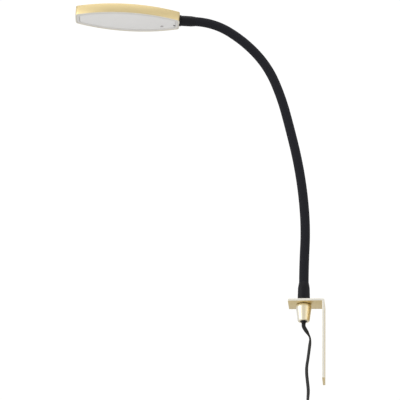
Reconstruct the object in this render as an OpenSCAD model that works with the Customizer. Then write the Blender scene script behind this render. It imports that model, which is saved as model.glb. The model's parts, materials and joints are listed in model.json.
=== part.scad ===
// Hook-on reading lamp: a bent metal strip slips over a board, a textile-covered gooseneck
// rises from it, and a thin light head with a frosted underside sits at the arm's end.
// Origin: the middle of the hook leg's outer face. +X points out of that face, +Z up.

/* [Hook] */
// Width of the bent strip
strip_w = 32; // [28:1:36]
// Thickness of the bent strip
strip_t = 3; // [2.5:0.5:4]
// Length of the plate from the arm's axis to its free end
plate_out = 19; // [16:1:24]
// Distance from the arm's axis to the leg's outer face
leg_out = 26.2; // [25:0.2:30]
// Height of the leg, measured from the top of the plate
leg_h = 101.5; // [80:0.5:120]
// Radius on the outside of the bend
bend_r = 3; // [1:0.5:5]

/* [Cone nut] */
// Radius of the cone nut's shoulder
cone_r = 9.6; // [9:0.1:10]
// Radius of the cone nut's lower end
cone_tip_r = 7.3; // [6.5:0.1:8]
// Depth of the cone nut's lower end, under the top of the plate
cone_depth = 24.7; // [24:0.1:28]

/* [Arm] */
// How far the arm is turned from the strip's long direction
arm_yaw = 7; // [0:1:15]
// Radius of the textile sleeve
sleeve_r = 6; // [5.5:0.1:6.5]
// Radius of the wound steel tube inside the sleeve
core_r = 4.6; // [4:0.1:5]
// Length of the arm between one flexing place and the next
link_len = 46.8; // [40:0.2:50]
// Gap that each flexing place leaves for the bend
flex_gap = 1.8; // [1.8:0.1:2.5]
// Height of the lower ferrule
ferrule_h = 26; // [20:1:30]
// Straight length at the arm's upper end
tip_len = 21; // [20:1:24]

/* [Head] */
// Length of the head
head_len = 136.5; // [130:0.5:145]
// Width of the head at its middle
head_w = 52.5; // [50:0.5:56]
// Thickness of the head
head_t = 13; // [12.4:0.1:13.6]
// Wall thickness of the metal band
band_wall = 1.6; // [1.4:0.1:1.8]
// Travel of the switch button
button_travel = 0.8; // [0.5:0.1:1]

/* [Cord] */
// Width of the flat twin cord
cord_w = 5; // [4.5:0.1:5.5]
// Thickness of the flat twin cord
cord_t = 2.4; // [2:0.1:3]

/* [Hidden] */
$fn = 96;

// Colours
gold = [0.86, 0.78, 0.58];
black = [0.09, 0.09, 0.1];
textile = [0.14, 0.14, 0.17];
steel = [0.72, 0.73, 0.75];
alu = [0.8, 0.81, 0.82];
white = [0.93, 0.92, 0.9];

// Hook
plate_top = leg_h / 2;
washer_t = 0.5;
stud_r = 4.5;
stud_bore = 2;
stud_up = 7;
stud_down = 14;
bush_r = 4.5;
bush_tail_r = 3;
bush_tail = 2.4;
clamp_h = 3.5;

// Arm: the turn of each link, from the plate up to the head
turns = [-2.5, 6.5, 4.5, 4.5, 1.5, 8, 19, 16, 31];
core_bore = 2.4;
core_clear = 0.05;
lead_r = 1.1;
function chord(t) = abs(t) < 0.01 ? link_len : link_len * sin(t / 2) / (t * PI / 360);
function heading(k) = k == 0 ? 0 : heading(k - 1) + turns[k - 1];
function place(k) = k == 0
    ? [0, 0, ferrule_h]
    : place(k - 1) + chord(turns[k - 1]) * along(heading(k - 1) + turns[k - 1] / 2);
function along(a) = [-sin(a), 0, cos(a)];
end_heading = heading(len(turns));
head_at = place(len(turns)) + tip_len * along(end_heading);

// Head: the outline is a lens cut off by two slightly bowed ends
end_half = 12;
end_r = 150;
end_bow = end_r - sqrt(end_r * end_r - end_half * end_half);
side_run = head_len / 2 - end_bow;
side_bow = head_w / 2 - end_half;
side_r = (side_run * side_run + side_bow * side_bow) / (2 * side_bow);
spigot_r = 3;
spigot_bore = 1.5;
run_gap = 0.05;
collar_r = 7.3;
collar_t = 2;
collar_seat = 0.3;
ferrule_seat = 8;
block_end = 13;
floor_z = -head_t / 2;
roof_z = head_t / 2;
cover_t = 1.3;
plate_z = roof_z - cover_t;
heat_t = 1.5;
board_t = 1.6;
board_z = plate_z - heat_t - board_t;
panel_z = floor_z + 2;
bay = 17;
switch_z = panel_z + 2.2 + button_travel;
button_at = [-22.9, 7];
screw_at = [-6.9, 3];

// Cord route below the bush, from the arm's axis and the top of the plate
drop_route = [
    [0, 0, -27.1], [0, 0, -31], [2, 0, -35], [5, 0, -40], [7.5, 0, -45], [8, 0, -50],
    [7, 0, -60], [5.5, 0, -72], [4, 0, -83], [4, 0, -92], [5, 0, -102], [6, 0, -113],
    [5.5, 0, -124], [5, 0, -137.5]
];
tail_route = [[2.6, -5.2, -200], [2.6, -5.2, -210], [2.6, -5.2, -225], [2.6, -5.2, -240]];
// The tied hank: the middle of its upper round end, its size, and where it begins along Y
hank_at = [-12.4, 18.2, -147];
hank_w = 37.2;
hank_h = 98.2;
hank_y = 20.8;
tie_h = 9;
tie_t = 1;
tie_z = -176;
plug_at = [2.6, -5.2, -240];
plug_h = 34;
plug_w = 26;
plug_t = 13.6;
pin_r = 2;
pin_len = 19;
pin_gap = 18.6;

// A ring of eight points around a route point: flat oval, wide along Y
function ring(p) = [
    for (i = [0:7]) p + [cord_t / 2 * cos(45 * i + 22.5), cord_w / 2 * sin(45 * i + 22.5), 0]
];

module at_base() {
    translate([-leg_out, 0, plate_top]) children();
}

module at_arm() {
    at_base() rotate([0, 0, arm_yaw]) children();
}

// The start of link k, with +Z along the arm and the bend towards -X
module at_link(k) {
    at_arm() translate(place(k)) rotate([0, -heading(k), 0]) children();
}

// The head's own frame: the head runs along -X from the arm's end
module at_head() {
    at_arm() translate(head_at) rotate([0, 90 - end_heading, 0]) children();
}

// A solid rod or a tube that follows link k, cut back at each end
module bent_rod(k, r_out, r_in, cut_low, cut_high) {
    t = abs(turns[k]);
    r = link_len / (t * PI / 180);
    low = cut_low / link_len * t;
    high = cut_high / link_len * t;
    at_link(k)
        mirror([turns[k] < 0 ? 1 : 0, 0, 0])
            translate([-r, 0, 0])
                rotate([90, 0, 0])
                    rotate([0, 0, low])
                        rotate_extrude(angle = t - low - high)
                            translate([r, 0])
                                difference() {
                                    circle(r_out);
                                    if (r_in > 0) circle(r_in);
                                }
}

module tube(r_out, r_in, z0, z1) {
    translate([0, 0, z0])
        difference() {
            cylinder(r = r_out, h = z1 - z0);
            translate([0, 0, -1]) cylinder(r = r_in, h = z1 - z0 + 2);
        }
}

module rod_or_tube(r_out, r_in, z0, z1) {
    if (r_in > 0) tube(r_out, r_in, z0, z1);
    if (r_in == 0) translate([0, 0, z0]) cylinder(r = r_out, h = z1 - z0);
}

// One layer of the arm in link k; the end links carry on into their ferrules
module arm_layer(k, r_out, r_in, low_start, high_end) {
    first = k == 0;
    last = k == len(turns) - 1;
    bent_rod(k, r_out, r_in, first ? 0 : flex_gap / 2, last ? 0 : flex_gap / 2);
    if (first) at_arm() rod_or_tube(r_out, r_in, low_start, ferrule_h);
    if (last) at_head() rotate([0, -90, 0]) rod_or_tube(r_out, r_in, -tip_len, high_end);
}

module sleeve(k) {
    color(textile) arm_layer(k, sleeve_r, core_r + core_clear, stud_up, -ferrule_seat);
}

module core(k) {
    color(steel) arm_layer(k, core_r, core_bore, stud_up, -ferrule_seat);
}

module lead(k) {
    color(white) arm_layer(k, lead_r, 0, -stud_down - 1, block_end + 1.5);
}

module bracket() {
    color(gold)
        at_base()
            difference() {
                translate([0, strip_w / 2, 0])
                    rotate([90, 0, 0])
                        linear_extrude(strip_w)
                            union() {
                                translate([-plate_out, -strip_t])
                                    square([plate_out + leg_out - bend_r, strip_t]);
                                translate([leg_out - strip_t, -leg_h])
                                    square([strip_t, leg_h - bend_r]);
                                intersection() {
                                    translate([leg_out - bend_r, -bend_r]) circle(bend_r);
                                    translate([leg_out - bend_r, -bend_r]) square(bend_r);
                                }
                            }
                translate([0, 0, -strip_t - 1]) cylinder(r = stud_r + 0.3, h = strip_t + 2);
            }
}

module cone_washer() {
    color(black) at_base() tube(cone_r - 2.6, stud_r + 0.3, -strip_t - washer_t, -strip_t);
}

module cone_nut() {
    top = -strip_t - washer_t;
    color(gold)
        at_base()
            rotate_extrude()
                polygon([
                    [stud_r, top], [cone_r - 1, top], [cone_r - 0.4, top - 0.5], [cone_r - 0.05, top - 2],
                    [cone_r, top - 3.2],
                    [cone_tip_r + 0.1, -cone_depth + 1], [cone_tip_r - 0.2, -cone_depth + 0.3],
                    [cone_tip_r - 0.8, -cone_depth], [bush_r, -cone_depth], [bush_r, -cone_depth + 3.4],
                    [bush_r + 0.8, -cone_depth + 4.4], [bush_r + 0.8, -stud_down - 0.6], [stud_r, -stud_down]
                ]);
}

module hollow_stud() {
    color(steel) at_base() tube(stud_r, stud_bore, -stud_down, stud_up);
}

module cord_bush() {
    color(black)
        at_base() {
            translate([0, 0, -cone_depth]) cylinder(r = bush_r, h = 3.4);
            translate([0, 0, -cone_depth - bush_tail])
                cylinder(r1 = bush_tail_r - 0.3, r2 = bush_tail_r, h = bush_tail);
        }
}

module cord_clamp() {
    color(white)
        at_base()
            translate([-cord_w / 2 - 0.8, -1.8, -cone_depth + 3.4])
                cube([cord_w + 1.6, 3.6, clamp_h]);
}

module lower_ferrule() {
    color(black)
        at_arm()
            rotate_extrude()
                polygon([
                    [stud_r, 0], [7.7, 0], [7.7, ferrule_h - 18], [7.3, ferrule_h - 7.4],
                    [6.3, ferrule_h - 0.6], [sleeve_r, ferrule_h - 0.4],
                    [sleeve_r, stud_up], [stud_r, stud_up]
                ]);
}

// One closed tube swept along a route; the rings stay level, because the cord hangs
module cord_tube(route) {
    n = len(route);
    polyhedron(
        points = [for (p = route) each ring(p)],
        faces = concat(
            [[for (i = [0:7]) i]],
            [[for (i = [7:-1:0]) (n - 1) * 8 + i]],
            [for (k = [0:n - 2]) for (i = [0:7])
                [k * 8 + (i + 1) % 8, k * 8 + i, (k + 1) * 8 + i, (k + 1) * 8 + (i + 1) % 8]]
        )
    );
}

module cord_drop() {
    color(black) at_base() cord_tube(drop_route);
}

module cord_tail() {
    color(black) at_base() cord_tube(tail_route);
}

module cord_hank() {
    drop = hank_h - hank_w;
    color(black)
        at_base()
            translate(hank_at)
                rotate([90, 0, 0])
                    linear_extrude(hank_y)
                        union() {
                            circle(hank_w / 2);
                            translate([0, -drop]) circle(hank_w / 2);
                            translate([-hank_w / 2, -drop]) square([hank_w, drop]);
                        }
}

module hank_tie() {
    color([0.2, 0.2, 0.2])
        at_base()
            translate([hank_at.x, hank_at.y - hank_y / 2, tie_z])
                difference() {
                    cube([hank_w + 2 * tie_t, hank_y + 2 * tie_t, tie_h], center = true);
                    cube([hank_w, hank_y, tie_h + 2], center = true);
                }
}

module plug_body() {
    color(black)
        at_base()
            translate(plug_at)
                rotate([-90, 0, 0])
                    translate([0, 0, -plug_t / 2])
                        linear_extrude(plug_t)
                            polygon([
                                [-4, 0], [4, 0], [5.5, 10], [plug_w / 2, 20],
                                [plug_w / 2, plug_h], [-plug_w / 2, plug_h], [-plug_w / 2, 20], [-5.5, 10]
                            ]);
}

module plug_pins() {
    color(steel)
        at_base()
            translate(plug_at - [0, 0, plug_h + pin_len])
                for (side = [-1, 1])
                    translate([side * pin_gap / 2, 0, 0]) {
                        translate([0, 0, 1.2]) cylinder(r = pin_r, h = pin_len - 1.2);
                        cylinder(r1 = pin_r - 1, r2 = pin_r, h = 1.2);
                    }
}

// A slab with the head's outline, drawn in by an even margin
module head_slab(z0, z1, margin) {
    h = z1 - z0;
    mid = -head_len / 2;
    offset_y = side_r - head_w / 2;
    translate([0, 0, z0])
        intersection() {
            translate([mid, offset_y, 0]) cylinder(r = side_r - margin, h = h);
            translate([mid, -offset_y, 0]) cylinder(r = side_r - margin, h = h);
            translate([-end_r, 0, 0]) cylinder(r = end_r - margin, h = h);
            translate([-head_len + end_r, 0, 0]) cylinder(r = end_r - margin, h = h);
        }
}

// A slab with the head's outline and an even hole
module head_ring(z0, z1, outer, inner) {
    difference() {
        head_slab(z0, z1, outer);
        head_slab(z0 - 1, z1 + 1, inner);
    }
}

// A box that covers the head from one distance past the arm's end to another
module head_bay(from, to) {
    translate([-to, -head_w, -head_t]) cube([to - from, 2 * head_w, 2 * head_t]);
}

module along_neck(r, from, to) {
    translate([-from, 0, 0]) rotate([0, -90, 0]) cylinder(r = r, h = to - from);
}

module upper_ferrule() {
    color(black)
        at_head()
            rotate([0, -90, 0])
                rotate_extrude()
                    polygon([
                        [spigot_r, -collar_t - 0.2], [6.8, -collar_t - 0.2], [6.8, -tip_len + 5.6],
                        [6.25, -tip_len + 0.6], [sleeve_r, -tip_len + 0.4],
                        [sleeve_r, -ferrule_seat], [spigot_r, -ferrule_seat]
                    ]);
}

module spigot() {
    color(steel) at_head() rotate([0, -90, 0]) tube(spigot_r, spigot_bore, -ferrule_seat, block_end + 1.5);
}

module spigot_ring() {
    color(steel) at_head() rotate([0, -90, 0]) tube(spigot_r + 1, spigot_r, block_end + 0.2, block_end + 1.4);
}

module neck_collar() {
    color(black)
        at_head()
            difference() {
                along_neck(collar_r, -collar_t, collar_seat);
                along_neck(spigot_r + run_gap, -collar_t - 1, 2);
            }
}

module neck_block() {
    color(alu)
        at_head()
            difference() {
                intersection() {
                    head_slab(panel_z + 0.1, plate_z - 0.1, band_wall + 0.1);
                    translate([-block_end, -8.5, -head_t]) cube([block_end, 17, 2 * head_t]);
                }
                along_neck(spigot_r + run_gap, -1, block_end + 1);
                translate([screw_at.x, screw_at.y, -head_t]) cylinder(r = 0.9, h = head_t - 3.2);
                translate([-9.5, -6, -head_t]) cylinder(r = 1, h = 2 * head_t);
            }
}

// The grub screw that fixes the block to the cover, beside the spigot
module neck_screw() {
    color(steel)
        at_head()
            translate([-9.5, -6, panel_z + 0.6]) cylinder(r = 1, h = plate_z - panel_z - 0.7);
}

module head_band() {
    color(gold)
        at_head()
            difference() {
                union() {
                    head_ring(floor_z, roof_z, 0, band_wall);
                    head_ring(plate_z - 1, plate_z, band_wall - 0.1, band_wall + 1.5);
                }
                along_neck(spigot_r + 0.3, -1, 4);
                translate([-block_end - 1, -8.7, plate_z - 1.2]) cube([block_end + 1 - band_wall, 17.4, 1.2]);
                // The collar's flat seat in the bowed end
                translate([-collar_seat, -collar_r - 0.2, floor_z - 1])
                    cube([collar_seat + 1, 2 * collar_r + 0.4, head_t + 2]);
            }
}

module top_cover() {
    color(gold) at_head() head_slab(plate_z, roof_z - 0.1, band_wall + 0.05);
}

module heat_plate() {
    color(alu)
        at_head()
            difference() {
                intersection() {
                    head_slab(plate_z - heat_t, plate_z, band_wall + 1.7);
                    head_bay(bay, head_len);
                }
                board_screw_holes();
            }
}

module board_screw_places() {
    for (a = [40, 120])
        for (s = [-1, 1])
            translate([-a, s * 7.5, 0]) children();
}

module board_screw_holes() {
    board_screw_places() translate([0, 0, board_z - 1]) cylinder(r = 1.2, h = 6);
}

module board_screws() {
    color(steel)
        at_head()
            board_screw_places() {
                translate([0, 0, board_z]) cylinder(r = 1.2, h = plate_z - board_z - 0.05);
                translate([0, 0, board_z - 1]) cylinder(r = 2, h = 1);
            }
}

module led_board() {
    color(white)
        at_head()
            difference() {
                intersection() {
                    head_slab(board_z, board_z + board_t, 5.5);
                    head_bay(32, head_len);
                }
                board_screw_holes();
            }
}

module led_chips() {
    color([0.95, 0.85, 0.45])
        at_head()
            for (a = [48:9:111])
                for (s = [-1, 1])
                    translate([-a, s * 7, board_z - 0.4]) cube([3.5, 2.8, 0.8], center = true);
}

module reflector() {
    color(white)
        at_head()
            intersection() {
                head_ring(panel_z, board_z, band_wall + 1.7, 7);
                head_bay(bay, head_len);
            }
}

module bezel() {
    color(white) at_head() head_ring(floor_z + 0.2, floor_z + 1.4, band_wall + 0.05, 5.3);
}

module diffuser() {
    color([0.95, 0.94, 0.93])
        at_head()
            difference() {
                union() {
                    head_slab(floor_z + 0.4, floor_z + 1.5, 5.5);
                    head_slab(floor_z + 1.4, panel_z, band_wall + 1.7);
                }
                translate([button_at.x, button_at.y, floor_z - 1]) cylinder(r = 2.3, h = 5);
                translate([screw_at.x, screw_at.y, floor_z - 1]) cylinder(r = 1.1, h = 5);
            }
}

module diffuser_screw() {
    color(steel)
        at_head()
            translate([screw_at.x, screw_at.y, 0]) {
                translate([0, 0, floor_z]) cylinder(r = 1.3, h = 0.4);
                translate([0, 0, floor_z + 0.4]) cylinder(r = 0.9, h = 2.4);
            }
}

module switch_body() {
    color(black)
        at_head()
            translate([button_at.x - 4, button_at.y - 4, switch_z]) cube([8, 8, plate_z - heat_t - switch_z]);
}

module switch_button() {
    color([0.55, 0.53, 0.52])
        at_head()
            translate([button_at.x, button_at.y, 0]) {
                translate([0, 0, floor_z - 0.3]) cylinder(r = 2, h = 2.5);
                translate([0, 0, floor_z + 2.2]) cylinder(r = 2.8, h = 1.2);
            }
}

module head_wire() {
    color([0.75, 0.15, 0.12])
        at_head() {
            translate([-block_end - 3, 0, 0]) rotate([0, -90, 0]) cylinder(r = 0.7, h = 39 - block_end - 3);
            translate([-39, 0, 0]) cylinder(r = 0.7, h = board_z);
            translate([-39, 0, 0]) sphere(r = 0.7);
        }
}

bracket();
cone_washer();
cone_nut();
hollow_stud();
cord_bush();
cord_clamp();
lower_ferrule();
cord_drop();
cord_hank();
hank_tie();
cord_tail();
plug_body();
plug_pins();
for (k = [0:len(turns) - 1]) {
    sleeve(k);
    core(k);
    lead(k);
}
upper_ferrule();
spigot();
spigot_ring();
neck_collar();
neck_block();
neck_screw();
head_band();
top_cover();
heat_plate();
board_screws();
led_board();
led_chips();
reflector();
bezel();
diffuser();
diffuser_screw();
switch_body();
switch_button();
head_wire();
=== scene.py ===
import json
import math

import bmesh
import bpy
from mathutils import Matrix, Quaternion, Vector


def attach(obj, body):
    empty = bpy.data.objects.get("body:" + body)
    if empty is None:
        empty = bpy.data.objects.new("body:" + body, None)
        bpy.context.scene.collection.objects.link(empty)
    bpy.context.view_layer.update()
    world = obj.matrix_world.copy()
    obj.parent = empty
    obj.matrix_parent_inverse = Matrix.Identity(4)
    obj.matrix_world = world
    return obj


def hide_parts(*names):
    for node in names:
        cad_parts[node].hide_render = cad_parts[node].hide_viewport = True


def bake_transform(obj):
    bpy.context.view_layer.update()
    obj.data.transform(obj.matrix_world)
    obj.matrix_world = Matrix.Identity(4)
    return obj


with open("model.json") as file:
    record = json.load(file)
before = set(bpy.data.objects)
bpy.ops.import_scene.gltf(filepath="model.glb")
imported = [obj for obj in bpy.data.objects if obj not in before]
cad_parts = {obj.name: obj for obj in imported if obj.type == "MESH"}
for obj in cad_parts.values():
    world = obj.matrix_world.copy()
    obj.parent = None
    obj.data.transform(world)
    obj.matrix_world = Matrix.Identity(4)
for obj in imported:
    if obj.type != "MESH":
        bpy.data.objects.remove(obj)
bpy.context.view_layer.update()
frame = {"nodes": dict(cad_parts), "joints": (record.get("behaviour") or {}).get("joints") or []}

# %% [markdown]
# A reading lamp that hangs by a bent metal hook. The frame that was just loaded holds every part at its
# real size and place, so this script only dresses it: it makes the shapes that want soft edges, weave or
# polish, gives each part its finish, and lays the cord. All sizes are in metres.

MM = 0.001

# %% [markdown]
# The driving sizes. The origin is the middle of the hook leg's outer face, so the arm's axis stands a
# little to the left of it and the top of the plate is half the leg's height above it. The arm is a chain
# of arcs: each link has the same length and its own turn.

# %% Sizes that place everything
STRIP_W, STRIP_T, LEG_OUT, LEG_H = 32 * MM, 3 * MM, 26.2 * MM, 101.5 * MM
PLATE_OUT = 19 * MM
FERRULE_H, LINK, TIP = 26 * MM, 46.8 * MM, 21 * MM
TURNS = [math.radians(t) for t in (-2.5, 6.5, 4.5, 4.5, 1.5, 8, 19, 16, 31)]
SLEEVE_R = 6 * MM
ARM_YAW = math.radians(7)
HEAD_LEN, HEAD_W, HEAD_T, WALL = 136.5 * MM, 52.5 * MM, 13 * MM, 1.6 * MM
FLOOR_Z, ROOF_Z = -HEAD_T / 2, HEAD_T / 2

at_base = Matrix.Translation((-LEG_OUT, 0, LEG_H / 2))
at_arm = at_base @ Matrix.Rotation(ARM_YAW, 4, "Z")

# %% [markdown]
# One function walks along the arm and answers two things: where its middle is, and which way it points.
# Everything on the arm, from the sleeve to the head, is placed with it.

# %% Walking along the arm
def heading_way(heading):
    """The direction that leans by this angle from upright towards the head."""
    return Vector((-math.sin(heading), 0, math.cos(heading)))


def arm_at(distance):
    """Centre and heading of the arm, this far along it from the top of the plate, before its yaw."""
    place, heading = Vector((0, 0, min(distance, FERRULE_H))), 0.0
    left = distance - FERRULE_H
    for turn in TURNS:
        step = min(max(left, 0.0), LINK)
        bend = turn * step / LINK
        chord = step * math.sin(bend / 2) / (bend / 2) if abs(bend) > 1e-9 else step
        place = place + chord * heading_way(heading + bend / 2)
        heading, left = heading + bend, left - LINK
    return place + max(left, 0.0) * heading_way(heading), heading


ARM_LEN = FERRULE_H + LINK * len(TURNS) + TIP
head_place, head_heading = arm_at(ARM_LEN)
at_head = at_arm @ Matrix.Translation(head_place) @ Matrix.Rotation(math.pi / 2 - head_heading, 4, "Y")
neck_joint = next(j for j in frame["joints"] if j["name"] == "head_turn")
print("head starts", [round(v, 4) for v in at_head.translation], "and the frame says", neck_joint["pos_m"])

# %% [markdown]
# The camera stands low and in front, looks up at the lamp, and is tipped by a degree and a half. A long
# lens from nearly two and a half metres keeps the picture almost free of perspective.

# %% Camera
LOOK_AT = Vector((-0.1574, -0.0103, 0.1854))
VIEW_TURN, VIEW_RISE, VIEW_ROLL = math.radians(6.0), math.radians(-22.6), math.radians(1.6)
VIEW_AWAY, VIEW_LENS = 2.4, 171
back = Vector((
    math.sin(VIEW_TURN) * math.cos(VIEW_RISE),
    -math.cos(VIEW_TURN) * math.cos(VIEW_RISE),
    math.sin(VIEW_RISE),
))
camera = bpy.data.objects.new("camera", bpy.data.cameras.new("camera"))
bpy.context.scene.collection.objects.link(camera)
camera.data.lens = VIEW_LENS
camera.data.clip_end = 30
camera.location = LOOK_AT + VIEW_AWAY * back
camera.rotation_mode = "QUATERNION"
camera.rotation_quaternion = (-back).to_track_quat("-Z", "Y") @ Quaternion((0, 0, 1), VIEW_ROLL)
bpy.context.scene.camera = camera

# %% [markdown]
# Every finish below is a small network of nodes. Two short helpers keep such a network readable: one
# makes a node and fills its inputs, the other makes a sum. A finish that several materials share is
# built once as a node group.

# %% Helpers for materials
def add_node(tree, kind, inputs=None, **settings):
    """A new node. Inputs are values or sockets to link, by name or number."""
    made = tree.nodes.new(kind)
    for name, value in settings.items():
        setattr(made, name, value)
    for key, value in (inputs or {}).items():
        if isinstance(value, bpy.types.NodeSocket):
            tree.links.new(value, made.inputs[key])
        else:
            made.inputs[key].default_value = value
    return made


def sum_node(tree, operation, *values):
    """The result of one step of arithmetic."""
    return add_node(tree, "ShaderNodeMath", dict(enumerate(values)), operation=operation).outputs[0]


def new_group(name, inputs, outputs):
    """A node group with float, colour or vector sockets. Returns the tree, its inputs and its output node."""
    tree = bpy.data.node_groups.new(name, "ShaderNodeTree")
    kinds = {"f": "NodeSocketFloat", "c": "NodeSocketColor", "v": "NodeSocketVector"}
    for socket, kind in inputs:
        tree.interface.new_socket(name=socket, in_out="INPUT", socket_type=kinds[kind])
    for socket, kind in outputs:
        tree.interface.new_socket(name=socket, in_out="OUTPUT", socket_type=kinds[kind])
    return tree, tree.nodes.new("NodeGroupInput").outputs, tree.nodes.new("NodeGroupOutput")


def mix_colour(tree, factor, low, high):
    """A blend of two colours."""
    made = add_node(tree, "ShaderNodeMix", {0: factor, 6: low, 7: high}, data_type="RGBA")
    return made.outputs[2]


# %% [markdown]
# The grain group is what makes a plain surface look real: broad clouds of tone and fine grain in the
# roughness, and a height for the bump. Brushed metal uses it stretched, plastic uses it round.

# %% The shared grain
def build_grain():
    tree, given, out = new_group(
        "surface_grain",
        [("Vector", "v"), ("Scale", "f"), ("Tone low", "c"), ("Tone high", "c"),
         ("Rough low", "f"), ("Rough high", "f")],
        [("Color", "c"), ("Roughness", "f"), ("Height", "f")],
    )
    clouds = add_node(tree, "ShaderNodeTexNoise", {"Vector": given["Vector"], "Scale": 34.0, "Detail": 3.0})
    fine = add_node(tree, "ShaderNodeTexNoise",
                    {"Vector": given["Vector"], "Scale": given["Scale"], "Detail": 4.0, "Roughness": 0.6})
    tone = sum_node(tree, "ADD", sum_node(tree, "MULTIPLY", clouds.outputs[0], 0.7),
                    sum_node(tree, "MULTIPLY", fine.outputs[0], 0.3))
    colour = mix_colour(tree, tone, given["Tone low"], given["Tone high"])
    rough = add_node(tree, "ShaderNodeMapRange",
                     {"Value": fine.outputs[0], "From Min": 0.3, "From Max": 0.7,
                      "To Min": given["Rough low"], "To Max": given["Rough high"]}).outputs[0]
    tree.links.new(colour, out.inputs["Color"])
    tree.links.new(rough, out.inputs["Roughness"])
    tree.links.new(fine.outputs[0], out.inputs["Height"])
    return tree


GRAIN = build_grain()


def surface(name, low, high, rough, scale=900.0, stretch=(1, 1, 1), metallic=0.0, bump=0.05,
            gloss=0.5, coat=0.0):
    """A material with the shared grain. Tones are linear colours. Stretch scales the grain on each axis."""
    made = bpy.data.materials.new(name)
    made.use_nodes = True
    tree = made.node_tree
    shader = tree.nodes["Principled BSDF"]
    spot = add_node(tree, "ShaderNodeTexCoord")
    mapped = add_node(tree, "ShaderNodeMapping",
                      {"Vector": spot.outputs["Object"], "Scale": stretch})
    grain = add_node(tree, "ShaderNodeGroup", node_tree=GRAIN)
    tree.links.new(mapped.outputs[0], grain.inputs["Vector"])
    grain.inputs["Scale"].default_value = scale
    grain.inputs["Tone low"].default_value = (*low, 1)
    grain.inputs["Tone high"].default_value = (*high, 1)
    grain.inputs["Rough low"].default_value, grain.inputs["Rough high"].default_value = rough
    lift = add_node(tree, "ShaderNodeBump", {"Height": grain.outputs["Height"], "Strength": bump,
                                             "Distance": 0.0002})
    tree.links.new(grain.outputs["Color"], shader.inputs["Base Color"])
    tree.links.new(grain.outputs["Roughness"], shader.inputs["Roughness"])
    tree.links.new(lift.outputs[0], shader.inputs["Normal"])
    shader.inputs["Metallic"].default_value = metallic
    shader.inputs["Specular IOR Level"].default_value = gloss
    shader.inputs["Coat Weight"].default_value = coat
    return made


# %% [markdown]
# The metal is a pale champagne gold with a satin face. Its brushing runs along each piece, so the grain is
# stretched: along the strip for the hook, round the cone, and along the band of the head. On the strip's
# cut edges, on the band's lower rim and on the cone's left, the colour is painted paler. This is a painted
# reflection of the bright room and a painted highlight of the key light. The surface's own direction tells
# which faces those are, so no face has to be picked by hand.

# %% Gold, steel and aluminium
GOLD_LOW, GOLD_HIGH = (0.70, 0.56, 0.29), (0.80, 0.66, 0.37)
# The cone's gold is a paler, greyer copy of the same metal: a painted reflection of the key light on it.
CONE_LIT_LOW, CONE_LIT_HIGH = (0.80, 0.71, 0.49), (0.88, 0.79, 0.57)
# The pale tone of the painted reflections and highlights on the gold.
REFLECTION_PAINT = (0.89, 0.86, 0.77)
X, Y, Z = 0, 1, 2


def paint_reflection_facing(made, axis, start, end):
    """Paints a reflection on the metal: pales it where it faces along an axis of the object."""
    tree = made.node_tree
    colour = tree.nodes["Principled BSDF"].inputs["Base Color"]
    spot = add_node(tree, "ShaderNodeTexCoord")
    faces = add_node(tree, "ShaderNodeSeparateXYZ", {0: spot.outputs["Normal"]}).outputs[axis]
    mask = add_node(tree, "ShaderNodeMapRange", {"Value": faces, "From Min": start, "From Max": end})
    paled = mix_colour(tree, mask.outputs[0], colour.links[0].from_socket, (*REFLECTION_PAINT, 1))
    tree.links.new(paled, colour)


gold_strip = surface("gold_strip", GOLD_LOW, GOLD_HIGH, (0.3, 0.46), 420, (1, 0.05, 1), 1.0, 0.12)
gold_cone = surface("gold_cone", CONE_LIT_LOW, CONE_LIT_HIGH, (0.34, 0.46), 700, (0.25, 0.25, 2.5), 1.0, 0.1)
gold_band = surface("gold_band", GOLD_LOW, GOLD_HIGH, (0.34, 0.5), 700, (0.08, 0.08, 2.0), 1.0, 0.12)
gold_cover = surface("gold_cover", GOLD_LOW, GOLD_HIGH, (0.32, 0.46), 500, (0.05, 1.5, 1.5), 1.0, 0.12)
# Painted reflection: the strip's cut edges and the band's lower rim are painted paler, as the bright room
# shows in them.
paint_reflection_facing(gold_strip, Y, -0.5, -0.8)
paint_reflection_facing(gold_strip, Y, 0.5, 0.8)
paint_reflection_facing(gold_band, Z, -0.3, -0.7)
# Painted highlight: the cone's left side is painted paler, as the key light shows in it.
paint_reflection_facing(gold_cone, X, 0.1, -0.9)
steel = surface("bright_steel", (0.5, 0.5, 0.51), (0.62, 0.62, 0.63), (0.2, 0.35), 800, metallic=1.0)
dark_steel = surface("dark_steel", (0.10, 0.10, 0.10), (0.16, 0.16, 0.16), (0.35, 0.5), 800, metallic=1.0)
wound_steel = surface("wound_steel", (0.38, 0.38, 0.39), (0.5, 0.5, 0.51), (0.3, 0.45), 600,
                      (1, 1, 6), metallic=1.0, bump=0.3)
milled = surface("milled_aluminium", (0.66, 0.67, 0.68), (0.76, 0.77, 0.78), (0.3, 0.45), 500,
                 (0.1, 2, 2), metallic=1.0)

# %% Plastics, rubber and small parts
black_plastic = surface("black_plastic", (0.005, 0.005, 0.007), (0.010, 0.010, 0.013), (0.4, 0.52), 1400,
                        bump=0.08, gloss=0.15)
cord_rubber = surface("cord_rubber", (0.006, 0.006, 0.006), (0.012, 0.012, 0.012), (0.36, 0.5), 1100,
                      bump=0.08, gloss=0.3)
plug_plastic = surface("plug_plastic", (0.008, 0.008, 0.009), (0.016, 0.016, 0.018), (0.4, 0.55), 1500,
                       bump=0.1, gloss=0.3)
white_plastic = surface("white_plastic", (0.72, 0.71, 0.69), (0.8, 0.79, 0.77), (0.38, 0.5), 1200, bump=0.04)
pale_bezel = surface("pale_bezel", (0.68, 0.66, 0.63), (0.76, 0.74, 0.70), (0.3, 0.42), 1200, bump=0.04)
frosted = surface("frosted_panel", (0.79, 0.78, 0.765), (0.86, 0.85, 0.835), (0.42, 0.56), 1800, bump=0.05,
                  coat=0.12)
board_white = surface("board_white", (0.7, 0.71, 0.7), (0.78, 0.79, 0.78), (0.4, 0.5), 700)
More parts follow.
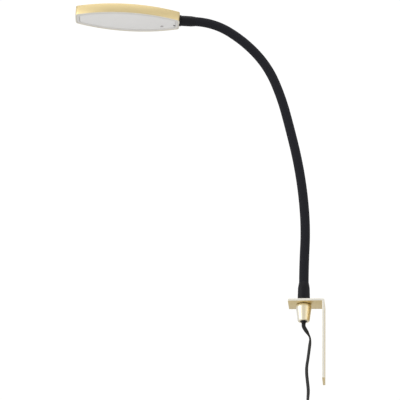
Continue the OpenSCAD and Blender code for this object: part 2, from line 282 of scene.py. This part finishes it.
chip_yellow = surface("chip_yellow", (0.75, 0.55, 0.12), (0.85, 0.68, 0.2), (0.2, 0.3), 900)
button_grey = surface("button_grey", (0.42, 0.40, 0.39), (0.50, 0.48, 0.47), (0.4, 0.5), 1200)
wire_white = surface("wire_white", (0.6, 0.6, 0.58), (0.7, 0.7, 0.68), (0.4, 0.5), 900)
strap_cloth = surface("strap_cloth", (0.012, 0.012, 0.014), (0.03, 0.03, 0.034), (0.8, 0.95), 2600, bump=0.6)
print("materials so far:", len(bpy.data.materials))

# %% [markdown]
# The arm wears a braided textile sleeve. A braid is two families of strands that wind opposite ways and
# pass over and under each other. In the piece's own UV map, U runs once round the arm and V along it, so
# the two families are U + V and U - V, and a chessboard of their cells says which one is on top.

# %% The braid
BRAID_ROUND, BRAID_PITCH = 20.0, 1.9 * MM


def build_braid():
    tree, given, out = new_group("braid", [("UV", "v"), ("Round", "f"), ("Pitch", "f")],
                                 [("Height", "f"), ("Crown", "f")])
    split = add_node(tree, "ShaderNodeSeparateXYZ", {0: given["UV"]})
    across = sum_node(tree, "MULTIPLY", split.outputs[0], given["Round"])
    along = sum_node(tree, "DIVIDE", split.outputs[1], given["Pitch"])
    strands = [sum_node(tree, "ADD", across, along), sum_node(tree, "SUBTRACT", across, along)]
    cells = [sum_node(tree, "FLOOR", s) for s in strands]
    middles = [sum_node(tree, "SUBTRACT", sum_node(tree, "FRACT", s), 0.5) for s in strands]
    rounds = [sum_node(tree, "COSINE", sum_node(tree, "MULTIPLY", m, 2.6)) for m in middles]
    wide = [sum_node(tree, "COSINE", sum_node(tree, "MULTIPLY", m, 1.9)) for m in middles]
    over = sum_node(tree, "PINGPONG", sum_node(tree, "ADD", *cells), 1.0)
    heights = [sum_node(tree, "MULTIPLY", rounds[0], wide[1]), sum_node(tree, "MULTIPLY", rounds[1], wide[0])]
    threads = [sum_node(tree, "MULTIPLY", sum_node(tree, "SINE", sum_node(tree, "MULTIPLY", m, 38.0)), 0.06)
               for m in middles]
    laid = [sum_node(tree, "ADD", h, t) for h, t in zip(heights, threads)]
    chosen = add_node(tree, "ShaderNodeMix", {0: over, 2: laid[0], 3: laid[1]}, data_type="FLOAT").outputs[0]
    tree.links.new(chosen, out.inputs["Height"])
    tree.links.new(sum_node(tree, "POWER", sum_node(tree, "MAXIMUM", chosen, 0.0), 2.0), out.inputs["Crown"])
    return tree


BRAID = build_braid()


def build_textile():
    made = bpy.data.materials.new("braided_textile")
    made.use_nodes = True
    tree = made.node_tree
    shader = tree.nodes["Principled BSDF"]
    uv = add_node(tree, "ShaderNodeUVMap", uv_map="UVMap")
    braid = add_node(tree, "ShaderNodeGroup", node_tree=BRAID)
    tree.links.new(uv.outputs[0], braid.inputs["UV"])
    braid.inputs["Round"].default_value, braid.inputs["Pitch"].default_value = BRAID_ROUND, BRAID_PITCH
    spot = add_node(tree, "ShaderNodeTexCoord")
    fuzz = add_node(tree, "ShaderNodeTexNoise",
                    {"Vector": spot.outputs["Object"], "Scale": 2500.0, "Detail": 3.0})
    # The strand crowns are painted lighter and the grooves between strands darker: painted shade in the
    # grooves.
    tone = mix_colour(tree, braid.outputs["Crown"], (0.003, 0.003, 0.005, 1), (0.013, 0.0135, 0.019, 1))
    tone = mix_colour(tree, sum_node(tree, "MULTIPLY", fuzz.outputs[0], 0.3), tone, (0.016, 0.0165, 0.023, 1))
    height = sum_node(tree, "ADD", braid.outputs["Height"], sum_node(tree, "MULTIPLY", fuzz.outputs[0], 0.25))
    lift = add_node(tree, "ShaderNodeBump", {"Height": height, "Strength": 0.9, "Distance": 0.00025})
    tree.links.new(tone, shader.inputs["Base Color"])
    tree.links.new(lift.outputs[0], shader.inputs["Normal"])
    shader.inputs["Roughness"].default_value = 0.72
    shader.inputs["Specular IOR Level"].default_value = 0.16
    shader.inputs["Sheen Weight"].default_value = 0.02
    return made


textile = build_textile()

# %% [markdown]
# A few mesh helpers carry most of the shapes. The first turns a bmesh into a finished piece that rides on
# its body. The second softens every sharp edge, because no real part has a perfectly sharp one and the
# thin bright line along a soft edge is what makes metal read as metal. Two short ones pull a face or an
# edge out and join one shape into another. The last sweeps a profile along rings, for the sleeve and the
# cord.

# %% Helpers for meshes
SHARP = math.radians(32)


def make_piece(name, shape, material, body=None, replaces=(), recalculate=True):
    """Turns the bmesh into an object at the origin that rides on a body."""
    if recalculate:
        bmesh.ops.remove_doubles(shape, verts=shape.verts, dist=1e-6)
        bmesh.ops.recalc_face_normals(shape, faces=shape.faces)
    mesh = bpy.data.meshes.new(name)
    shape.to_mesh(mesh)
    shape.free()
    mesh.materials.append(material)
    mesh.shade_smooth()
    mesh.set_sharp_from_angle(angle=SHARP)
    piece = bpy.data.objects.new(name, mesh)
    bpy.context.scene.collection.objects.link(piece)
    if body:
        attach(piece, body)
    if replaces:
        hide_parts(*replaces)
    print(name, len(mesh.polygons), "faces")
    return piece


def soften(shape, width, segments=3, angle=SHARP):
    """Rounds every edge that turns by more than the angle."""
    edges = [e for e in shape.edges if e.is_manifold and e.calc_face_angle() > angle]
    bmesh.ops.bevel(shape, geom=edges, offset=width, offset_type="OFFSET", segments=segments, profile=0.5,
                    affect="EDGES", clamp_overlap=True, material=-1)


def pull_out(shape, geometry, way):
    """Extrudes faces, or else edges, along a straight way."""
    if isinstance(geometry[0], bmesh.types.BMFace):
        grown = bmesh.ops.extrude_face_region(shape, geom=geometry)["geom"]
    else:
        grown = bmesh.ops.extrude_edge_only(shape, edges=geometry)["geom"]
    bmesh.ops.translate(shape, vec=way, verts=[g for g in grown if isinstance(g, bmesh.types.BMVert)])


def join_in(shape, other):
    """Adds another bmesh to this one and frees it."""
    spare = bpy.data.meshes.new("spare")
    other.to_mesh(spare)
    other.free()
    shape.from_mesh(spare)
    bpy.data.meshes.remove(spare)


def sweep(rings, profile, spokes, closed=True):
    """A tube through rings of (centre, across, up, distance). profile(angle) gives how far across and up."""
    shape = bmesh.new()
    spoke = shape.verts.layers.int.new("spoke")
    far = shape.verts.layers.float.new("far")
    shapes = [profile(2 * math.pi * i / spokes) for i in range(spokes)]
    bmesh.ops.create_circle(shape, segments=spokes, radius=1)
    shape.verts.ensure_lookup_table()
    for i, vert in enumerate(shape.verts):
        vert[spoke] = i
    edges, first = shape.edges[:], shape.edges[:]

    def settle(verts, ring):
        centre, across, up, distance = ring
        for vert in verts:
            a, b = shapes[vert[spoke]]
            vert.co = centre + across * a + up * b
            vert[far] = distance

    settle(shape.verts, rings[0])
    for ring in rings[1:]:
        grown = bmesh.ops.extrude_edge_only(shape, edges=edges)["geom"]
        edges = [g for g in grown if isinstance(g, bmesh.types.BMEdge) and len(g.link_faces) == 1]
        settle([g for g in grown if isinstance(g, bmesh.types.BMVert)], ring)
    if closed:
        bmesh.ops.edgeloop_fill(shape, edges=first)
        bmesh.ops.edgeloop_fill(shape, edges=edges)
    uv = shape.loops.layers.uv.new("UVMap")
    for face in shape.faces:
        wraps = len({v[spoke] for v in face.verts} & {0, spokes - 1}) == 2 and len(face.verts) == 4
        for loop in face.loops:
            turn = loop.vert[spoke]
            turn = spokes if wraps and turn == 0 else turn
            loop[uv].uv = (turn / spokes, loop.vert[far])
    return shape


# %% [markdown]
# The cord is a flat twin lead, five millimetres wide and half as thick, with a shallow groove between its
# two wires. It leaves the bush, twists once so that its edge faces us, and hangs down. What the room for
# the lamp doesn't need is folded into a hank and strapped, with the plug hanging just below. Cords hang by
# their own weight, so the route is a short list of places that a hand could have laid it through.

# %% The cord's route
CORD_W, CORD_T = 5 * MM, 2.4 * MM
DROP = [
    (0, 0, -27.1), (0, 0, -31), (2, 0, -35), (5, 0, -40), (7.5, 0, -45), (8, 0, -50),
    (7, 0, -60), (5.5, 0, -72), (4, 0, -83), (4, 0, -92), (5, 0, -102), (6, 0, -113),
    (5.5, 0, -124), (5, 0, -137.5), (5, 0, -147),
]
HANK_X, HANK_TOP, RUN = -12.4, -147, 61
OUTER_R, INNER_R, COLUMN = 17.4, 15.0, 5.2
TAIL = [(2.6, -5.2, -210), (2.6, -5.2, -225), (2.6, -5.2, -240)]


def ease(value):
    """Goes from 0 to 1 gently at both ends."""
    value = min(max(value, 0.0), 1.0)
    return value * value * (3 - 2 * value)


def smooth_line(points, pieces=8):
    """A curve through the points, with even steps between each two."""
    points = [Vector(p) for p in points]
    padded = [2 * points[0] - points[1], *points, 2 * points[-1] - points[-2]]
    line = []
    for a, b, c, d in zip(padded, padded[1:], padded[2:], padded[3:]):
        for step in range(pieces):
            t = step / pieces
            line.append(0.5 * ((2 * b) + (c - a) * t + (2 * a - 5 * b + 4 * c - d) * t**2
                               + (3 * b - a - 3 * c + d) * t**3))
    return line + [points[-1]]


def hank_turn(radius, new_radius, column, new_column):
    """One turn: down the right run, round the bottom, up the left run, and over the top."""
    y, new_y = column * COLUMN, new_column * COLUMN
    low = HANK_TOP - RUN
    turn = [Vector((HANK_X + radius, y, HANK_TOP - RUN * i / 12)) for i in range(12)]
    turn += [Vector((HANK_X + radius * math.cos(a), y, low - radius * math.sin(a)))
             for a in (math.pi * i / 16 for i in range(16))]
    for i in range(12):
        t = i / 12
        r = radius + (new_radius - radius) * ease((t - 0.5) * 2)
        turn.append(Vector((HANK_X - r, y + (new_y - y) * ease(t * 2), low + RUN * t)))
    turn += [Vector((HANK_X - new_radius * math.cos(a), new_y, HANK_TOP + new_radius * math.sin(a)))
             for a in (math.pi * i / 16 for i in range(16))]
    return turn


line = smooth_line(DROP)[:-1]
for column in range(4):
    inward = column == 3
    line += hank_turn(OUTER_R, INNER_R if inward else OUTER_R, column, column if inward else column + 1)
for column in (3, 2, 1):
    line += hank_turn(INNER_R, INNER_R, column, column - 1)
for i in range(12):
    line.append(Vector((HANK_X + INNER_R, -COLUMN * ease((i / 12 - 0.55) / 0.45), HANK_TOP - RUN * i / 12)))
line += smooth_line([(HANK_X + INNER_R, -COLUMN, HANK_TOP - RUN), *TAIL])
cord_line = [at_base @ (p * MM) for p in line]


def walk(points, step):
    """The same line with a point at every step along it."""
    even, carried = [points[0]], 0.0
    for a, b in zip(points, points[1:]):
        gap = (b - a).length
        while carried + gap >= step:
            a = a + (b - a) * ((step - carried) / gap)
            even.append(a.copy())
            gap, carried = (b - a).length, 0.0
        carried += gap
    return even + [points[-1]]


cord_line = walk(cord_line, 2 * MM)

# %% [markdown]
# The lead's section is two round wires side by side. Each ring of the sweep also knows how far the lead
# has turned about itself: flat to us at the bush, edge on a little lower, and flat to the hank's folds.

# %% The cord itself
TWIST = [(0, 0), (8, 4), (20, 88), (30, 126), (90, 128), (112, 100), (128, 90)]


def twist_at(distance):
    """How far the lead is turned about its own line, this many millimetres from the bush."""
    for (d0, a0), (d1, a1) in zip(TWIST, TWIST[1:]):
        if distance <= d1:
            return math.radians(a0 + (a1 - a0) * ease((distance - d0) / (d1 - d0)))
    return math.radians(TWIST[-1][1])


def twin_profile(angle):
    """Half of each wire's circle on each side, with a groove where they meet."""
    across = math.cos(angle) * CORD_T / 2 + math.copysign((CORD_W - CORD_T) / 2, math.cos(angle))
    groove = 1 - 0.3 * math.exp(-((across / (0.45 * MM)) ** 2))
    return across, math.sin(angle) * CORD_T / 2 * groove


def cord_rings():
    rings = []
    for i, place in enumerate(cord_line):
        way = (cord_line[min(i + 1, len(cord_line) - 1)] - cord_line[max(i - 1, 0)]).normalized()
        turn = twist_at(i * 2)
        across = Vector((math.cos(turn), math.sin(turn), 0))
        across = (across - way * across.dot(way)).normalized()
        rings.append((place, across, way.cross(across), i * 2 * MM))
    return rings


cord = make_piece("cord", sweep(cord_rings(), twin_profile, 24), cord_rubber, "base",
                  ("cord_drop", "cord_hank", "cord_tail"))

# %% [markdown]
# A lathe makes every round part: a few corner points are drawn as half of the part's section, spun once
# round, and the corners are softened afterwards.

# %% The lathe
def turned(section, where, segments=96, soft=0.25 * MM, soft_segments=3):
    """Spins a closed section of (radius, height) points about Z and puts it in place."""
    shape = bmesh.new()
    verts = [shape.verts.new((r * MM, 0, z * MM)) for r, z in section]
    edges = [shape.edges.new((a, b)) for a, b in zip(verts, verts[1:])]
    if section[0][0] > 0:
        edges.append(shape.edges.new((verts[-1], verts[0])))
    bmesh.ops.spin(shape, geom=verts + edges, cent=(0, 0, 0), axis=(0, 0, 1), angle=2 * math.pi,
                   steps=segments, use_merge=True, use_duplicate=False)
    bmesh.ops.remove_doubles(shape, verts=shape.verts, dist=1e-6)
    bmesh.ops.recalc_face_normals(shape, faces=shape.faces)
    if soft:
        soften(shape, soft, soft_segments)
    bmesh.ops.transform(shape, matrix=where, verts=shape.verts)
    return shape


# %% [markdown]
# The plug is a plain flat two-pin one: a moulded body that narrows to a ribbed neck, and two round pins,
# each with a small step where its slimmer root begins.

# %% The plug
PIN_GAP = 18.6 * MM
at_plug = at_base @ Matrix.Translation(Vector(TAIL[-1]) * MM)


def build_plug_body():
    shape = bmesh.new()
    outline = [(-4, 0), (4, 0), (5.2, -10), (12.6, -19), (13, -22), (13, -32), (12, -34),
               (-12, -34), (-13, -32), (-13, -22), (-12.6, -19), (-5.2, -10)]
    face = shape.faces.new([shape.verts.new((x * MM, -6.6 * MM, z * MM)) for x, z in outline])
    pull_out(shape, [face], (0, 13.2 * MM, 0))
    bmesh.ops.recalc_face_normals(shape, faces=shape.faces)
    for vert in shape.verts:
        if vert.co.z > -11 * MM:
            vert.co.y *= 0.5
    soften(shape, 2.2 * MM, 5, math.radians(25))
    bmesh.ops.transform(shape, matrix=at_plug, verts=shape.verts)
    neck = [(0, 3.5)]
    for i in range(5):
        neck += [(3.1, 3.4 - i * 1.6), (3.1, 2.6 - i * 1.6), (2.6, 2.5 - i * 1.6), (2.6, 1.9 - i * 1.6)]
    join_in(shape, turned(neck + [(0, -5.4)], at_plug, 32, 0.15 * MM, 2))
    return shape


plug = make_piece("plug", build_plug_body(), plug_plastic, "base", ("plug_body",), False)


def build_pins():
    shape = bmesh.new()
    section = [
        (0, -53), (1.4, -52.8), (1.9, -52), (2, -51), (2, -44.2), (1.85, -44), (1.85, -33.5), (0, -33.5),
    ]
    for side in (-1, 1):
        where = at_plug @ Matrix.Translation((side * PIN_GAP / 2, 0, 0))
        join_in(shape, turned(section, where, 32, 0.1 * MM, 2))
    return shape


pins = make_piece("pins", build_pins(), steel, "base", ("plug_pins",), False)

# %% [markdown]
# The strap is a loop of hook-and-loop tape round the middle of the hank: a rounded rectangle drawn once,
# given its width upwards and its thickness outwards.

# %% The strap
def build_strap():
    shape = bmesh.new()
    half_x, low_y, high_y, low_z, height = 18.9, -2.9, 18.5, -180.5, 9
    corners = [(-half_x, low_y), (half_x, low_y), (half_x, high_y), (-half_x, high_y)]
    verts = [shape.verts.new(((HANK_X + x) * MM, y * MM, low_z * MM)) for x, y in corners]
    edges = [shape.edges.new((a, b)) for a, b in zip(verts, verts[1:] + verts[:1])]
    pull_out(shape, edges, (0, 0, height * MM))
    upright = [e for e in shape.edges if abs(e.verts[0].co.z - e.verts[1].co.z) > MM]
    bmesh.ops.bevel(shape, geom=upright, offset=3 * MM, offset_type="OFFSET", segments=6, profile=0.5,
                    affect="EDGES", material=-1)
    bmesh.ops.recalc_face_normals(shape, faces=shape.faces)
    bmesh.ops.solidify(shape, geom=shape.faces[:], thickness=-0.9 * MM)
    bmesh.ops.recalc_face_normals(shape, faces=shape.faces)
    soften(shape, 0.2 * MM, 2, math.radians(60))
    bmesh.ops.transform(shape, matrix=at_base, verts=shape.verts)
    return shape


strap = make_piece("strap", build_strap(), strap_cloth, "base", ("hank_tie",))

# %% [markdown]
# The hook is one strip of metal, bent once. Its outline is drawn from the side and pulled out to the
# strip's width. The outer bend gets a real radius, and every other edge is just broken.

# %% The hook
BEND_R, BEND_INNER_R = 3 * MM, 0.4 * MM


def build_hook():
    shape = bmesh.new()
    left, right, low = -PLATE_OUT, LEG_OUT, -LEG_H
    outline = [(left, 0), (left, -STRIP_T), (right - STRIP_T, -STRIP_T), (right - STRIP_T, low), (right, low),
               (right, 0)]
    face = shape.faces.new([shape.verts.new((x, -STRIP_W / 2, z)) for x, z in outline])
    pull_out(shape, [face], (0, STRIP_W, 0))
    bmesh.ops.recalc_face_normals(shape, faces=shape.faces)

    def bend_edges(x, z):
        return [e for e in shape.edges
                if all(abs(v.co.x - x) < 1e-6 and abs(v.co.z - z) < 1e-6 for v in e.verts)]

    for x, z, radius in ((right, 0, BEND_R), (right - STRIP_T, -STRIP_T, BEND_INNER_R)):
        bmesh.ops.bevel(shape, geom=bend_edges(x, z), offset=radius, offset_type="OFFSET", segments=8,
                        profile=0.5, affect="EDGES", material=-1)
    soften(shape, 0.35 * MM, 3, math.radians(40))
    bmesh.ops.transform(shape, matrix=at_base, verts=shape.verts)
    return shape


make_piece("hook", build_hook(), gold_strip, "base", ("bracket",))

# %% [markdown]
# Under the plate a cone nut pulls the arm tight, with a thin dark washer between. It has a rounded shoulder
# close under the plate and then tapers to the bush that the cord leaves by.

# %% Cone, washer and bush
cone_section = [
    (4.5, -3.5), (8.6, -3.5), (9.2, -4), (9.5, -5.2), (9.6, -6.7), (9.5, -7.6), (7.4, -23.5), (7.1, -24.4),
    (6.5, -24.7), (4.5, -24.7),
]
washer_section = [(4.8, -3.5), (7, -3.5), (7, -3), (4.8, -3)]
bush_section = [
    (0, -21.3), (4.5, -21.3), (4.5, -24.5), (4.2, -24.9), (3.0, -25), (2.9, -26.6), (2.6, -27.1), (0, -27.1),
]
make_piece("cone", turned(cone_section, at_base, soft=0.3 * MM), gold_cone, "base",
           ("cone_nut",))
make_piece("washer", turned(washer_section, at_base, soft=0.1 * MM), black_plastic, "base",
           ("cone_washer",))
make_piece("bush", turned(bush_section, at_base, 48, 0.15 * MM), black_plastic, "base",
           ("cord_bush",))

# %% [markdown]
# The ferrules cap the sleeve's ends. The lower one is a slightly tapered tube that closes on the sleeve
# with a chamfer. The upper one is shorter and ends just short of the thin collar on the head, whose raised
# step fills the gap between them.

# %% Ferrules and collar
lower_section = [
    (4.5, 0), (7.7, 0), (7.72, 4), (7.35, 18), (7.3, 19), (6.25, 25.4), (6.0, 25.6), (6.0, 7), (4.5, 7),
]
make_piece("lower_ferrule_skin", turned(lower_section, at_arm, soft=0.35 * MM), black_plastic,
           "base", ("lower_ferrule",))
along_head = at_head @ Matrix.Rotation(-math.pi / 2, 4, "Y")
upper_section = [
    (3, -2.2), (6.85, -2.2), (6.8, -15.4), (6.7, -16.2), (6.2, -20.4), (6.0, -20.6), (6.0, -8), (3, -8),
]
make_piece("upper_ferrule_skin", turned(upper_section, along_head, soft=0.3 * MM), black_plastic,
           "arm_8", ("upper_ferrule",))
collar_section = [(3.05, -2.14), (6, -2.14), (6, -2), (7.3, -2), (7.3, 0.6), (3.05, 0.6)]
make_piece("collar", turned(collar_section, along_head, soft=0.2 * MM), black_plastic, "head",
           ("neck_collar",))

# %% [markdown]
# The sleeve is one tube on the real lamp, and it stays one when the arm bends. Here it is made in pieces
# that each reach from the middle of one link to the middle of the next, and neighbouring pieces share their
# end rings. The first piece rides on the base and the last on the arm's last link; the pieces between ride on
# no body.

# %% The braided sleeve
RING_GAP, SLEEVE_TUCK = 1.3 * MM, 9 * MM


def sleeve_rings(start, end):
    count = max(2, round((end - start) / RING_GAP))
    rings = []
    for i in range(count + 1):
        distance = start + (end - start) * i / count
        place, heading = arm_at(distance)
        out = Vector((math.cos(heading), 0, math.sin(heading)))
        rings.append((at_arm @ place, at_arm.to_3x3() @ out, at_arm.to_3x3() @ Vector((0, 1, 0)), distance))
    return rings


def round_profile(angle):
    return SLEEVE_R * math.cos(angle), SLEEVE_R * math.sin(angle)


bodies = ["base"] + [f"arm_{k}" for k in range(1, len(TURNS))]
middles = [FERRULE_H + LINK * (k + 0.5) for k in range(len(TURNS))]
stops = [SLEEVE_TUCK, *middles, ARM_LEN - SLEEVE_TUCK]
for k, (start, end) in enumerate(zip(stops, stops[1:])):
    covers = [f"sleeve_{k}"] if k < len(TURNS) else []
    ridden = bodies[min(k, len(TURNS) - 1)] if k in (0, len(TURNS)) else None
    tube = sweep(sleeve_rings(start, end), round_profile, 48, closed=False)
    piece = make_piece(f"braid_{k}", tube, textile, ridden, covers, recalculate=False)
    if ridden is None:
        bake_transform(piece)

# %% [markdown]
# Seen from above, the head is a long lens, cut off by two ends that bow only a little. One function
# answers how far the outline is from the middle in any direction, so a plain circle can be pushed out to
# it. The corner between a long side and an end is rounded, as a bent band is.

# %% The head's outline
END_HALF, END_R, CORNER = 12 * MM, 150 * MM, 2.2 * MM
END_BOW = END_R - math.sqrt(END_R**2 - END_HALF**2)
RUN_HALF, SIDE_BOW = HEAD_LEN / 2 - END_BOW, HEAD_W / 2 - END_HALF
SIDE_R = (RUN_HALF**2 + SIDE_BOW**2) / (2 * SIDE_BOW)


def outside_by(x, y, margin):
    """Roughly how far outside the outline a point lies; less than nothing inside."""
    side = math.hypot(x, abs(y) + SIDE_R - HEAD_W / 2) - SIDE_R + margin
    end = math.hypot(abs(x) + END_R - HEAD_LEN / 2, y) - END_R + margin
    gap = max(CORNER - abs(side - end), 0) / CORNER
    return max(side, end) + gap * gap * CORNER / 4


def reach(angle, margin):
    """Distance from the head's middle to its outline."""
    low, high = 0.0, HEAD_LEN
    for _ in range(40):
        mid = (low + high) / 2
        if outside_by(mid * math.cos(angle), mid * math.sin(angle), margin) > 0:
            high = mid
        else:
            low = mid
    return low


OUTLINE_POINTS = 400
OUTLINE_SPREAD = 0.62


def outline(shape, margin, z, filled=False):
    """A circle pushed out to the head's outline, drawn in by a margin."""
    made = bmesh.ops.create_circle(shape, segments=OUTLINE_POINTS, radius=1, cap_ends=filled)["verts"]
    for vert in made:
        angle = math.atan2(vert.co.y * OUTLINE_SPREAD, vert.co.x)
        distance = reach(angle, margin)
        vert.co = (-HEAD_LEN / 2 + distance * math.cos(angle), distance * math.sin(angle), z)
    return made


def edges_of(verts):
    """The edges that run between these points."""
    chosen = set(verts)
    return [e for e in {e for v in verts for e in v.link_edges} if set(e.verts) <= chosen]


def ring_slab(low, high, outer, inner, soft):
    """A frame with the head's outline, from one margin to another."""
    shape = bmesh.new()
    verts = [outline(shape, margin, low) for margin in (outer, inner)]
    bridged = bmesh.ops.bridge_loops(shape, edges=edges_of(verts[0]) + edges_of(verts[1]))["faces"]
    pull_out(shape, bridged, (0, 0, high - low))
    bmesh.ops.recalc_face_normals(shape, faces=shape.faces)
    soften(shape, soft, 3, math.radians(50))
    bmesh.ops.transform(shape, matrix=at_head, verts=shape.verts)
    return shape


def full_slab(low, high, margin, soft):
    """A plate with the head's outline."""
    shape = bmesh.new()
    outline(shape, margin, low, filled=True)
    pull_out(shape, shape.faces[:], (0, 0, high - low))
    bmesh.ops.recalc_face_normals(shape, faces=shape.faces)
    soften(shape, soft, 3, math.radians(50))
    bmesh.ops.transform(shape, matrix=at_head, verts=shape.verts)
    return shape


# %% [markdown]
# The band is a frame of gold, open above and below. The cover closes it on top with a hairline seam. On
# the underside a pale border holds the frosted panel, with a fine dark gap between them.

# %% Band, cover, border and panel
band_ring = ring_slab(FLOOR_Z, ROOF_Z, 0, WALL, 0.3 * MM)
make_piece("band", band_ring, gold_band, "head", ("head_band",))
cover_slab = full_slab(ROOF_Z - 1.3 * MM, ROOF_Z - 0.1 * MM, WALL + 0.12 * MM, 0.3 * MM)
make_piece("cover", cover_slab, gold_cover, "head", ("top_cover",))
border_ring = ring_slab(FLOOR_Z + 0.25 * MM, FLOOR_Z + 1.4 * MM, WALL + 0.05 * MM, 5.2 * MM, 0.3 * MM)
make_piece("border", border_ring, pale_bezel, "head", ("bezel",))
panel_slab = full_slab(FLOOR_Z + 0.45 * MM, FLOOR_Z + 2 * MM, 5.6 * MM, 0.35 * MM)
make_piece("panel", panel_slab, frosted, "head", ("diffuser",))

# %% [markdown]
# Two small things sit on the underside near the arm: the push switch and the screw that holds the panel.

# %% Switch button and panel screw
at_button = at_head @ Matrix.Translation((-22.9 * MM, 7 * MM, FLOOR_Z))
button_section = [
    (0, -0.35), (1.5, -0.3), (1.9, -0.05), (2.0, 0.3), (2.0, 2.2), (2.8, 2.2), (2.8, 3.4), (0, 3.4),
]
make_piece("button_cap", turned(button_section, at_button, 48, 0.1 * MM), button_grey, "button",
           ("switch_button",))
at_screw = at_head @ Matrix.Translation((-6.9 * MM, 3 * MM, FLOOR_Z))
screw_section = [
    (0, 0.35), (0.45, 0.3), (0.6, 0.05), (1.1, 0.05), (1.35, 0.3), (1.35, 0.5), (0.9, 0.5), (0.9, 2.8),
    (0, 2.8),
]
make_piece("panel_screw", turned(screw_section, at_screw, 32, 0.05 * MM, 2), dark_steel, "head",
           ("diffuser_screw",))

# %% [markdown]
# The parts inside are right as they stand in the frame, so each only gets its finish.

# %% Finishes for the parts inside
INSIDE = {
    "hollow_stud": steel, "cord_clamp": white_plastic, "spigot": steel, "spigot_ring": steel,
    "neck_block": milled, "neck_screw": steel, "heat_plate": milled, "board_screws": steel,
    "led_board": board_white, "led_chips": chip_yellow, "reflector": white_plastic,
    "switch_body": black_plastic, "head_wire": wire_white,
}
for k in range(len(TURNS)):
    INSIDE[f"core_{k}"] = wound_steel
    INSIDE[f"lead_{k}"] = wire_white
for name, material in INSIDE.items():
    node = frame["nodes"][name]
    node.data.materials.clear()
    node.data.materials.append(material)
print("inside parts finished:", len(INSIDE))

# %% [markdown]
# Last comes a plain studio: a pale floor far below, because the lamp hangs and is seen from below, a white
# room, and soft lights.

# %% Floor, lights and room
def flat_light(name, place, size, power, tint=(1, 1, 1)):
    lamp = bpy.data.lights.new(name, "AREA")
    lamp.shape, lamp.size, lamp.energy, lamp.color = "SQUARE", size, power, tint
    held = bpy.data.objects.new(name, lamp)
    bpy.context.scene.collection.objects.link(held)
    held.location = place
    held.rotation_mode = "QUATERNION"
    held.rotation_quaternion = (LOOK_AT - Vector(place)).to_track_quat("-Z", "Y")


FLOOR_DOWN, FLOOR_HALF = 1.15, 4
floor_shape = bmesh.new()
bmesh.ops.create_grid(floor_shape, x_segments=1, y_segments=1, size=FLOOR_HALF)
bmesh.ops.translate(floor_shape, vec=(0, 0, -FLOOR_DOWN), verts=floor_shape.verts)
floor_mesh = bpy.data.meshes.new("floor")
floor_shape.to_mesh(floor_mesh)
floor_shape.free()
floor_mesh.materials.append(surface("pale_floor", (0.78, 0.78, 0.78), (0.82, 0.82, 0.82), (0.7, 0.8), 40))
floor = bpy.data.objects.new("floor", floor_mesh)
bpy.context.scene.collection.objects.link(floor)

flat_light("key", (-2.2, -1.3, 0.5), 1.7, 20)
flat_light("fill", (2.4, -1.6, 0.2), 2.4, 12)
flat_light("top", (-0.3, -0.8, 2.6), 2.6, 22)

room = bpy.data.worlds.new("room")
bpy.context.scene.world = room
room.use_nodes = True
tree = room.node_tree
seen = add_node(tree, "ShaderNodeLightPath")
white = tree.nodes["Background"]
white.inputs["Color"].default_value = (1, 1, 1, 1)
white.inputs["Strength"].default_value = 0.75
bright = add_node(tree, "ShaderNodeBackground", {"Color": (1, 1, 1, 1), "Strength": 1.05})
choice = add_node(tree, "ShaderNodeMixShader", {0: seen.outputs["Is Camera Ray"], 1: white.outputs[0],
                                                2: bright.outputs[0]})
tree.links.new(choice.outputs[0], tree.nodes["World Output"].inputs["Surface"])
bpy.context.scene.view_settings.view_transform = "Standard"
